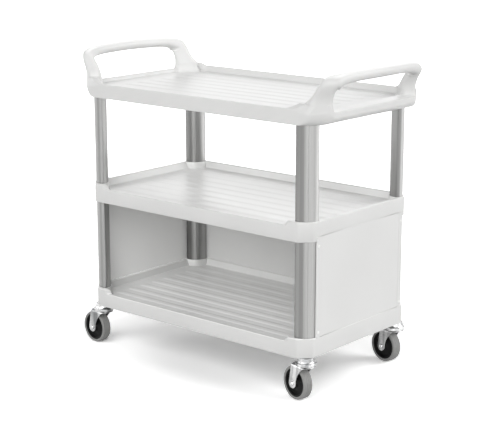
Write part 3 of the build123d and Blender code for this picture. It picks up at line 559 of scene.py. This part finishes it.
def handle_boss(sx, sy):
    """Boss under a handle leg: the leg's section, set along the corner facet, spreads toward the deck by
    a falling power of the height and is held inside the shelf's outer faces and rounded corners."""
    t = np.linspace(0, 1, BOSS_STEPS)
    low, high = TOP_DECK - BOSS_SINK, FOOT_Z - BOSS_GAP
    height = low + (high - low) * np.minimum(t * BOSS_STRETCH, 1.0)
    grow = BOSS_SPREAD * (1 - t) ** BOSS_POWER
    grow[-1] -= BOSS_LIP
    rows = []
    for g, z in zip(grow, height):
        flat = leg_section(FOOT_HALF_WIDTH + g, FOOT_HALF_DEPTH + g, LEG_POWER)
        flat[:, 0] *= np.where(flat[:, 0] < 0, 1 + FOOT_SWEEP / FOOT_HALF_WIDTH, 1.0)
        x = FOOT_X + (flat[:, 0] + flat[:, 1]) / DIAGONAL
        y = FOOT_Y + (flat[:, 1] - flat[:, 0]) / DIAGONAL
        over = np.maximum(x + y - FACET_SUM + FACET_GAP, 0) / 2
        x = np.minimum(x - over, HALF_X + NOSE_REACH - BOSS_FACE_GAP)
        y = np.minimum(y - over, HALF_Y - BOSS_FACE_GAP - drawn_in(z))
        for normal_x, normal_y, distance, drawn_share in FACET_END_PLANES:
            past = np.maximum(normal_x * x + normal_y * y - distance + drawn_share * drawn_in(z), 0)
            x, y = x - normal_x * past, y - normal_y * past
        rows.append(np.stack([sx * x, sy * y, np.full(len(x), z)], -1))
    return skin(np.stack(rows), caps=True)


def rim_rises(ref):
    """Share of the handle feet's rise, and the rise itself, at each station of the rim's outer line.

    A foot's ramp is a power of the distance along the long side, and eases down round the end; the rear
    ridge runs level between the feet."""
    x, y = np.abs(ref[:, 0]), np.abs(ref[:, 1])
    ramp = np.clip((x - RAMP_START) / (RAMP_END - RAMP_START), 0, 1) ** RAMP_POWER
    along_facet = (x - FOOT_X - y + FOOT_Y) / DIAGONAL
    foot = np.minimum(ramp, 1 - smooth((along_facet - END_RAMP_START) / END_RAMP_RUN))
    at_rear = ref[:, 1] > HALF_Y - ON_FACE
    ridge = RIDGE_RISE * at_rear * smooth((RAMP_END + RIDGE_PAST - x) / RIDGE_RUN)
    return foot, np.maximum(FOOT_RISE * foot, ridge)


def top_shelf():
    """Top tray: the outline's ends flare outward with height on a quarter round, then rise straight to the
    rim, which rolls over and slopes down to the deck; the rims ease up to the four handle feet by a square
    of the distance, their outer faces drawing in as they rise."""
    end = endness()
    first = 0.02
    lift = np.concatenate([np.linspace(first, FLARE_HEIGHT, 13), np.linspace(FLARE_HEIGHT, 1, 12)[1:]])
    flare = (1 - np.maximum(1 - lift / FLARE_HEIGHT, 0) ** 2) ** FLARE_POWER
    lip = [(WALL, 0.5), (2.8, 0.0), (0.9, 0.0), (0.2, 0.4)]  # inset and rise of the skirt's lower edge
    lip_inset, lip_rise = np.array(lip).T
    inset = np.concatenate([lip_inset, 0 * lift])
    out = np.concatenate([0 * lip_inset, flare])
    cut = CORNER_CUT + (NOSE_REACH - DIAGONAL * NOSE_CORNER_REACH) * out
    rounding = CORNER_ROUNDING + (NOSE_ROUNDING - CORNER_ROUNDING) * out
    outer = outline(HALF_X + NOSE_REACH * out - inset, HALF_Y - inset, cut, rounding)
    foot, rise = rim_rises(outer[-1])
    drop = (1 - end) * SHOULDER + end * ((1 - foot) * NOSE_SHOULDER + foot * FOOT_SHOULDER)
    under = TOP_SKIRT + lip_rise[:, None] + 0 * end
    side = TOP_SKIRT + (TOP_RIM - drop + rise - TOP_SKIRT) * lift[:, None]
    rows = [  # inset on the long sides and ends, height below the rim there, share of the rise
        (0.4, 0.5, 1.1, 1.2, 1.0), (1.3, 2.2, 0.3, 0.5, 1.0), (3.0, 6.0, 0.0, 0.0, 1.0),
        (6.6, 32.0, 0.0, 0.0, 1.0), (7.8, 34.0, 0.3, 0.3, 1.0), (8.8, 35.4, 1.2, 1.2, 0.97),
        (13.6, 39.6, 9.0, 9.0, 0.25), (14.8, 41.0, 10.8, 10.8, 0.05), (16.4, 42.6, 11.5, 11.5, 0.0),
        (20.0, 46.0, 12.2, 12.2, 0.0)]
    in_long, in_end, down_long, down_end, share = (np.array(v)[:, None] for v in zip(*rows))
    inner = np.minimum(in_long[:, 0] / TOP_RIM_WIDTH, 1)
    over = outline(HALF_X + NOSE_REACH - in_end[:, 0], HALF_Y - in_long[:, 0],
                   cut[-1] + (CORNER_CUT - cut[-1]) * inner,
                   NOSE_ROUNDING + (TRAY_ROUNDING - NOSE_ROUNDING) * inner)
    slope = NOSE_DROP * np.clip(1 - in_end / NOSE_WIDTH, 0, 1) * end * (1 - foot)
    tops = TOP_RIM - down_long * (1 - end) - down_end * end - slope + share * rise
    rings = np.concatenate([outer, over])
    z = np.concatenate([under, side, tops])
    rings[..., 1] -= np.sign(rings[..., 1]) * (1 - end) * foot * drawn_in(z)
    roof = outline(HALF_X - WALL, HALF_Y - WALL, CORNER_CUT, CORNER_ROUNDING)
    rings = np.concatenate([roof, rings])
    z = np.concatenate([TOP_DECK - WALL + 0 * z[:1], z])
    wall = skin(np.concatenate([rings, z[..., None]], -1), caps=True)
    skins = [wall, deck_sheet(HALF_X + TOP_DECK_OVER, HALF_Y - TOP_DECK_MARGIN, TOP_DECK)]
    skins += under_ribs(TOP_DECK)
    skins += [socket(corner, TOP_SKIRT, TOP_DECK - TOP_COLLAR_DROP) for corner in CORNERS]
    skins += [handle_boss(sx, sy) for sx, sy, _ in CORNERS.values()]
    # Its deck and up-facing faces are painted whiter as if lit, its side faces greyer as if shaded
    return piece("top_shelf", skins, WHITE, "cart", ["top_shelf"], painted_light_side=(0, 0, 0.69))


# Handles, uprights and panels


def handle_path():
    """Even stations along a handle's middle line, and the share of its height at each.

    The line is a superellipse across and up, leaning outward with height, and the grip falls toward its
    ends by the square of the distance from its middle; it is worked out finely, then read at even lengths."""
    a = np.pi * crowded(np.linspace(0, 1, 6001))
    across = np.abs(np.cos(a)) ** (2 / ARCH_POWER)
    share = np.sin(a).clip(0) ** (2 / ARCH_POWER)
    lean = LEG_LEAN * share**LEAN_POWER + (1 - LEG_LEAN) * np.maximum(0, 1 - across) ** BEND_POWER
    rise = (GRIP_Z - GRIP_DROP - FOOT_Z) * share + GRIP_DROP * (1 - across**2)
    x = FOOT_X + (GRIP_X - FOOT_X) * lean
    y = -np.sign(np.cos(a)) * FOOT_Y * across
    path = np.stack([x, y, FOOT_Z + rise], -1)
    run = np.concatenate([[0], np.cumsum(np.linalg.norm(np.diff(path, axis=0), axis=1))])
    even = np.linspace(0, run[-1], ARCH_STEPS)
    path = np.stack([np.interp(even, run, path[:, k]) for k in range(3)], -1)
    return path, np.interp(even, run, share)


def handle(name, side):
    """Loop handle: the leg's section is carried along a square-shouldered arch.

    The section turns with the arch and eases from a broad rounded leg along the corner facet, which
    flares and sweeps out at its foot, to a round grip bar."""
    path, share = handle_path()
    ahead = np.gradient(path, axis=0) * (0, 1, 1)
    ahead[0], ahead[-1] = (0, 0, 1), (0, 0, -1)
    ahead /= np.linalg.norm(ahead, axis=1, keepdims=True)
    first_half = np.arange(ARCH_STEPS) < ARCH_STEPS // 2
    facet = np.stack([1 + 0 * share, np.where(first_half, 1.0, -1.0), 0 * share], -1) / DIAGONAL
    wide = facet - (facet * ahead).sum(1, keepdims=True) * ahead
    wide /= np.linalg.norm(wide, axis=1, keepdims=True)
    deep = np.cross(ahead, wide)
    slim, flare = share**GRIP_POWER, (1 - share) ** FOOT_FLARE_POWER
    half_wide = LEG_HALF_WIDTH + (FOOT_HALF_WIDTH - LEG_HALF_WIDTH) * flare
    half_deep = LEG_HALF_DEPTH + (FOOT_HALF_DEPTH - LEG_HALF_DEPTH) * flare
    half_wide += (GRIP_RADIUS - half_wide) * slim
    half_deep += (GRIP_RADIUS - half_deep) * slim
    leg, grip = leg_section(1.0, 1.0, LEG_POWER), leg_section(1.0, 1.0, 2.0)
    flat = leg * (1 - slim)[:, None, None] + grip * slim[:, None, None]
    foot_share = np.clip(1 - (path[:, 2] - FOOT_Z) / FOOT_SWEEP_RISE, 0, 1)
    sweep = FOOT_SWEEP * foot_share**FOOT_SWEEP_POWER
    swept = half_wide[:, None] + np.where(flat[..., 0] < 0, sweep[:, None], 0.0)
    along_wide = (flat[..., 0] * swept)[..., None] * wide[:, None]
    along_deep = (flat[..., 1] * half_deep[:, None])[..., None] * deep[:, None]
    rings = (path[:, None] + along_wide + along_deep) * (side, 1, 1)
    # Its up-facing faces are painted whiter as if lit, its sides greyer as if shaded
    return piece(name, [skin(rings, caps=True)], WHITE, "cart", [name], sharp=50,
                 painted_light_side=(0, 0, 0.92))


def upright(name, corner, low, high):
    """Oval tube: the outer oval with its two grooves, and the inner oval, between two heights."""
    rings = [oval_ring(0.0, OVAL_GROOVE_DEPTH)] * 2 + [oval_ring(-OVAL_WALL)] * 2
    points = stacked([at_corner(r, corner) for r in rings], (low, high, high, low))
    # The faces toward +X are painted brighter, a painted highlight
    return piece(name, [skin(points, close_rows=True)], ALUMINIUM, "cart", [name],
                 sharp=50, painted_light_side=(1, 0, 0))


def panel(name, half, face, outward, low, high, band=0.0, tuck=None):
    """Flat sheet: the outside face steps up to a raised band along each upright edge, and rounds off there;
    a tuck is a narrower length that goes up inside the shelf above."""
    profile = [  # distance from the edge, share of the band's rise
        (0.0, 0.1), (0.25, 0.6), (0.9, 0.95), (2.0, 1.0), (PANEL_BAND - 1.6, 1.0), (PANEL_BAND - 0.8, 0.75),
        (PANEL_BAND, 0.1), (PANEL_BAND + 0.6, 0.0)]
    edge, step = np.array(profile).T
    across = np.concatenate([edge - half, half - edge[::-1]])
    out = np.stack([across, face + PANEL + band * np.concatenate([step, step[::-1]])], -1)
    back = np.stack([across[::-1], face + 0 * across], -1)
    ring = np.concatenate([out, back])
    flat = ring[:, ::-1] * (outward[0], 1) if outward[0] else ring * (1, outward[1])
    skins = [skin(stacked([flat, flat], (low, high)), caps=True)]
    if tuck:
        skins.append(bar(-tuck, tuck, face, face + PANEL, high - TUCK_OVERLAP, high + PANEL_LAP))
    # The faces that look inward are painted whiter as if lit, the outer faces greyer as if shaded
    return piece(name, skins, SHEET, "cart", [name], painted_light_side=(-outward[0], -outward[1], 0))


def rivets():
    """Push rivets: a low dome on a short flange, its radius following a quarter ellipse of its height."""
    pole = 0.02
    a = np.linspace(pole, np.pi / 2, 9)
    radius = np.concatenate([RIVET_RADIUS * np.sin(a), [RIVET_RADIUS, RIVET_SHANK, RIVET_SHANK]])
    lift = np.concatenate([RIVET_FLANGE + RIVET_DOME * np.cos(a), [0.0, 0.0, -RIVET_LENGTH]])
    dome = turned(np.stack([radius, lift], -1), RIVET_STEPS)[..., [2, 0, 1]]
    end_face, back_face = END_PANEL + PANEL + PANEL_BAND_RISE, BACK_PANEL + PANEL
    skins = []
    for z in (BOTTOM_SKIRT + RIM_RISE + RIVET_UP, MIDDLE_SKIRT - RIVET_UP):
        for side in (-1, 1):
            for end in (-1, 1):
                on_end = (end * end_face, side * (PANEL_HALF_Y - RIVET_EDGE), z)
                skins.append(skin(dome * (end, 1, 1) + on_end, caps=True))
            on_back = (side * (UPRIGHT_X - OVAL_SHIFT), back_face, z)
            skins.append(skin(dome[..., [1, 0, 2]] + on_back, caps=True))
    return piece("panel_rivets", skins, NYLON, "cart", ["panel_rivets"])


# Casters


def on_axle(points):
    """Turns a form made about Z onto the wheel's axle, heights toward -Y."""
    return np.stack([points[..., 0] - TRAIL, -points[..., 2], points[..., 1] + WHEEL], -1)


def at_caster(points, corner):
    """Turns a caster's form about its stem and moves it to its corner."""
    sx, sy, turn = CORNERS[corner]
    c, s = math.cos(math.radians(turn)), math.sin(math.radians(turn))
    x, y = points[..., 0], points[..., 1]
    return np.stack([c * x - s * y + sx * STEM_X, s * x + c * y + sy * STEM_Y, points[..., 2]], -1)


def swivel_cup(corner):
    """Pressed cup: a turned profile that widens from its seat under the shelf to a rolled lower rim."""
    profile = soften([(8.0, BOTTOM_SKIRT), (24.0, BOTTOM_SKIRT), (25.4, 127.0), (28.0, 122.6), (31.0, 121.2),
                      (31.0, 115.2), (30.0, 112.6), (26.4, 112.6), (26.4, 116.0), (8.0, 116.0)], 1.2)
    form = at_caster(turned(profile, CUP_STEPS), corner)
    return piece("cup_" + corner, [skin(form, close_rows=True)], ZINC, "cart",
                 ["cup_" + corner])


def fork_reach(z):
    """Half width of a fork leg's round end at a height, and its full half width from the axle up."""
    return np.sqrt(np.maximum(FORK_END**2 - np.minimum(z - WHEEL, 0) ** 2, 0))


def fork_front(z):
    """Front edge of a fork leg at a height: round below the axle, then swelling forward by the square of
    the height above it."""
    return -TRAIL + fork_reach(z) + FORK_SWELL * np.maximum(z - WHEEL, 0) ** 2


def fork_back(z):
    """Rear edge of a fork leg at a height: a straight line from the round end to the heel."""
    run = (TRAIL + FORK_END - FORK_HEEL) / (CROWN_TOP - WHEEL)
    return -TRAIL - fork_reach(z) + np.maximum(z - WHEEL, 0) * run


def fork(corner):
    """Pressed fork: an inverted U carried across from leg to leg, its front and rear edges set by height.

    Each leg has a shallow pressed rib, a bell across that eases out toward its ends; its round end starts
    a tip's angle off its lowest point, and the sheet is given its thickness afterwards."""
    mid, top = FORK_FACE - FORK_STEEL / 2, CROWN_TOP - FORK_STEEL / 2
    shoulder = top - FORK_BEND
    tip = 0.12
    round_end = WHEEL - FORK_END * np.cos(np.linspace(tip, np.pi / 2, 14))
    leg_z = np.concatenate([round_end, np.linspace(WHEEL, shoulder, 26)[1:]])
    a = np.linspace(0, np.pi / 2, 9)[1:]
    bend_y, bend_z = -mid + FORK_BEND * (1 - np.cos(a)), shoulder + FORK_BEND * np.sin(a)
    crown_y = np.linspace(bend_y[-1], -bend_y[-1], 13)[1:-1]
    leg_y = np.full(len(leg_z), mid)
    y = np.concatenate([-leg_y, bend_y, crown_y, -bend_y[::-1], leg_y])
    z = np.concatenate([leg_z, bend_z, np.full(len(crown_y), top), bend_z[::-1], leg_z[::-1]])
    over = smooth((z - shoulder) / FORK_BEND)
    front = fork_front(z) * (1 - over) + over * np.sqrt(CROWN_RADIUS**2 - y**2)
    back = fork_back(z)
    x = back[:, None] + (front - back)[:, None] * crowded(np.linspace(0, 1, 21))
    bell = np.exp(-(((x - (back + FORK_END)[:, None]) / FORK_RIB_WIDTH) ** 2))
    ease = smooth((z - FORK_RIB_LOW) / FORK_RIB_LOW_RUN) * smooth((FORK_RIB_HIGH - z) / FORK_RIB_HIGH_RUN)
    leg_side = np.where(np.abs(y) > mid - FORK_RIB_BEND, np.sign(y), 0.0)
    out = FORK_RIB_RISE * bell * (ease * leg_side)[:, None]
    grid = np.stack([x, y[:, None] + out, z[:, None] + 0 * x], -1)
    form = at_caster(grid, corner)
    obj = piece("fork_" + corner, [skin(form, close_columns=False, solid=False)], ZINC, "swivel_" + corner,
                ["fork_" + corner])
    sheet = obj.modifiers.new("steel_thickness", "SOLIDIFY")
    sheet.thickness, sheet.offset = (FORK_STEEL - FORK_PLAY) * MM, 0.0
    return obj


def axle_bolt(corner):
    """Axle: a low domed head with a shallow dimple, then the shank through both legs, turned on the axle."""
    profile = soften([(0.4, 24.9), (2.4, 24.9), (3.2, 25.9), (5.6, 25.5), (6.7, 23.9), (6.8, FORK_FACE),
                      (4.0, FORK_FACE), (4.0, -26.8), (3.2, -27.5), (0.4, -27.5)], 0.5, 4)
    form = at_caster(on_axle(turned(profile, AXLE_STEPS)), corner)
    return piece("axle_bolt_" + corner, [skin(form, caps=True)], ZINC, "swivel_" + corner,
                 ["axle_bolt_" + corner])


def tyre(corner):
    """Tyre: a turned section with rounded shoulders; the tread's radius falls slightly to the sides by the
    square of the distance and dips at three grooves as narrow bells."""
    w = np.linspace(-TREAD_HALF, TREAD_HALF, 77)
    tread = WHEEL - TREAD_CROWN * (w / TREAD_HALF) ** 2
    for middle in TREAD_GROOVES:
        tread -= TREAD_GROOVE_DEPTH * np.exp(-(((w - middle) / TREAD_GROOVE_WIDTH) ** 2))
    side = soften([(42.0, 13.0), (42.6, 15.0), (45.2, 15.5), (48.2, 14.9), (50.0, 12.8), (50.5, 9.9)], 1.5)
    section = np.concatenate([side, np.stack([tread, w], -1)[::-1], side[::-1] * (1, -1)])
    form = at_caster(on_axle(turned(section, WHEEL_STEPS)), corner)
    return piece("tyre_" + corner, [skin(form, close_rows=True)], RUBBER, "wheel_" + corner,
                 ["tyre_" + corner])


def hub(corner):
    """Dished wheel centre: boss, sloping web and a stepped rim, turned on the axle."""
    half = soften([(6.1, 16.9), (12.6, 16.9), (14.0, 15.2), (15.6, 10.6), (23.0, 7.4), (31.5, 5.4),
                   (35.0, 5.6), (36.6, 8.8), (37.4, 12.8), (39.4, 13.5), (41.2, 13.5), (42.0, 12.9)], 1.0)
    section = np.concatenate([half, half[::-1] * (1, -1)])
    form = at_caster(on_axle(turned(section, HUB_STEPS)), corner)
    return piece("hub_" + corner, [skin(form, close_rows=True)], BLACK, "wheel_" + corner,
                 ["hub_" + corner])


# The cart; a tray's last value is how far its deck is painted as the lit side, whiter as if lit

tray_shelf("bottom_shelf", BOTTOM_SKIRT, 1.0)
tray_shelf("middle_shelf", MIDDLE_SKIRT, 0.74)
top_shelf()
handle("left_handle", -1)
handle("right_handle", 1)
panel_low, panel_high = BOTTOM_SKIRT + RIM_RISE + PANEL_PLAY, MIDDLE_SKIRT + PANEL_LAP - PANEL_PLAY
panel("left_end_panel", PANEL_HALF_Y, END_PANEL, (-1, 0), panel_low, panel_high, band=PANEL_BAND_RISE)
panel("right_end_panel", PANEL_HALF_Y, END_PANEL, (1, 0), panel_low, panel_high, band=PANEL_BAND_RISE)
panel("back_panel", PANEL_HALF_X, BACK_PANEL, (0, 1), panel_low, MIDDLE_SKIRT - PANEL_PLAY,
      tuck=UPRIGHT_X - 2 * OVAL_A)
rivets()
bottom_stop = BOTTOM_SKIRT + RIM_RISE - SOCKET_DEPTH
middle_stop = MIDDLE_SKIRT + RIM_RISE - SOCKET_DEPTH
top_stop = TOP_SKIRT + TOP_SOCKET_DEPTH
for corner in CORNERS:
    upright("upper_upright_" + corner, corner, middle_stop + UPRIGHT_PLAY, top_stop - UPRIGHT_PLAY)
    upright("lower_upright_" + corner, corner, bottom_stop + UPRIGHT_PLAY, middle_stop - WALL - UPRIGHT_PLAY)
    swivel_cup(corner)
    fork(corner)
    axle_bolt(corner)
    tyre(corner)
    hub(corner)

# Inner steel that the CAD nodes themselves show, in the same plating
hidden_steel = [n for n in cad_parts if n.startswith(("stem", "ball_ring", "bush", "axle_nut"))
                or n in ("upright_screws", "handle_screws")]
for node in hidden_steel:
    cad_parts[node].data.materials.clear()
    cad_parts[node].data.materials.append(ZINC)

# Floor, light and camera, in metres and degrees

FLOOR_HALF = 14.0
# Floor: the light it gives off, and its colour to the eye, darker in a painted pool of shade under the cart
# and white beyond
FLOOR_GIVES, FLOOR_NEAR, FLOOR_FAR = 0.60, 1.18, 1.85
POOL_PLACE, POOL_SCALE = (-0.068, 0.207, 0.0), (2.27, 3.45, 1.0)
POOL_START, POOL_END = 0.50, 1.22
LAMP_SOFTNESS = 55.0
LAMPS = {"front_lamp": ((0.10, -0.82, 0.54), 1.50), "side_lamp": ((0.66, -0.71, 0.22), 1.84),
         "left_lamp": ((-0.90, -0.36, 0.22), 1.10), "right_lamp": ((0.70, 0.55, 0.42), 2.22),
         "back_lamp": ((-0.35, 0.90, 0.22), 0.50)}  # direction that the light comes from, strength
CAMERA_PLACE, CAMERA_DOWN, CAMERA_TURN = (2.7817, -3.2588, 1.4625), 13.67, 40.32
LENS_MM, SENSOR_MM = 102.25, 36.0
NEAREST, FARTHEST = 0.1, 100.0


def shown(tree):
    """1 for a surface seen directly, in a reflection or through glass; 0 for the light that it gives off."""
    ray = add(tree, "ShaderNodeLightPath").outputs
    either = {0: ray["Is Camera Ray"], 1: ray["Is Glossy Ray"]}
    any_of = {0: add(tree, "ShaderNodeMath", either, operation="MAXIMUM"), 1: ray["Is Transmission Ray"]}
    return add(tree, "ShaderNodeMath", any_of, operation="MAXIMUM").outputs[0]


def floor():
    """Pale floor that takes the cart's soft shadow, and a painted pool of shade under the cart.

    What it gives off is a pale grey's light. To the eye it is whiter, by a smooth step outward from a painted
    pool of shade under the cart, which deepens the real shadow there; the pool is an ellipse, so distance is
    the length of a scaled place."""
    made = bpy.data.materials.new("studio_floor_painted_white")
    made.use_nodes = True
    tree = made.node_tree
    tree.nodes.remove(tree.nodes["Principled BSDF"])
    place = add(tree, "ShaderNodeTexCoord").outputs["Object"]
    plan = add(tree, "ShaderNodeMapping", {"Vector": place, "Location": POOL_PLACE, "Scale": POOL_SCALE})
    away = add(tree, "ShaderNodeVectorMath", {0: plan}, operation="LENGTH").outputs["Value"]
    span = {"Value": away, "From Min": POOL_START, "From Max": POOL_END, "To Min": FLOOR_NEAR,
            "To Max": FLOOR_FAR}
    seen = add(tree, "ShaderNodeMapRange", span, interpolation_type="SMOOTHSTEP")
    paint = add(tree, "ShaderNodeMapRange", {"Value": shown(tree), "To Min": FLOOR_GIVES, "To Max": seen})
    matt = add(tree, "ShaderNodeBsdfDiffuse", {"Color": paint})
    tree.links.new(matt.outputs[0], tree.nodes["Material Output"].inputs["Surface"])
    mesh = bpy.data.meshes.new("floor")
    corners = [(-FLOOR_HALF, -FLOOR_HALF, 0), (FLOOR_HALF, -FLOOR_HALF, 0), (FLOOR_HALF, FLOOR_HALF, 0),
               (-FLOOR_HALF, FLOOR_HALF, 0)]
    mesh.from_pydata(corners, [], [(0, 1, 2, 3)])
    mesh.materials.append(made)
    obj = bpy.data.objects.new("floor", mesh)
    bpy.context.collection.objects.link(obj)


def surroundings():
    """White all round to the eye and in reflections; it gives off no light, which is left to the lamps."""
    world = bpy.data.worlds.new("studio")
    bpy.context.scene.world = world
    world.use_nodes = True
    tree = world.node_tree
    back = tree.nodes["Background"]
    back.inputs["Color"].default_value = (1, 1, 1, 1)
    tree.links.new(shown(tree), back.inputs["Strength"])


def lamp(name, toward, level):
    """Large soft lamp far away, shining from a direction."""
    data = bpy.data.lights.new(name, "SUN")
    data.energy, data.angle = level, math.radians(LAMP_SOFTNESS)
    obj = bpy.data.objects.new(name, data)
    obj.rotation_mode = "QUATERNION"
    obj.rotation_quaternion = Vector(toward).to_track_quat("Z", "Y")
    bpy.context.collection.objects.link(obj)


def camera():
    """Camera at the photograph's viewing angle."""
    data = bpy.data.cameras.new("camera")
    data.sensor_width, data.lens = SENSOR_MM, LENS_MM
    data.clip_start, data.clip_end = NEAREST, FARTHEST
    obj = bpy.data.objects.new("camera", data)
    obj.location = CAMERA_PLACE
    obj.rotation_euler = (math.radians(90 - CAMERA_DOWN), 0, math.radians(CAMERA_TURN))
    bpy.context.collection.objects.link(obj)
    bpy.context.scene.camera = obj


floor()
surroundings()
for name, (toward, level) in LAMPS.items():
    lamp(name, toward, level)
camera()
bpy.context.scene.view_settings.view_transform = "Standard"
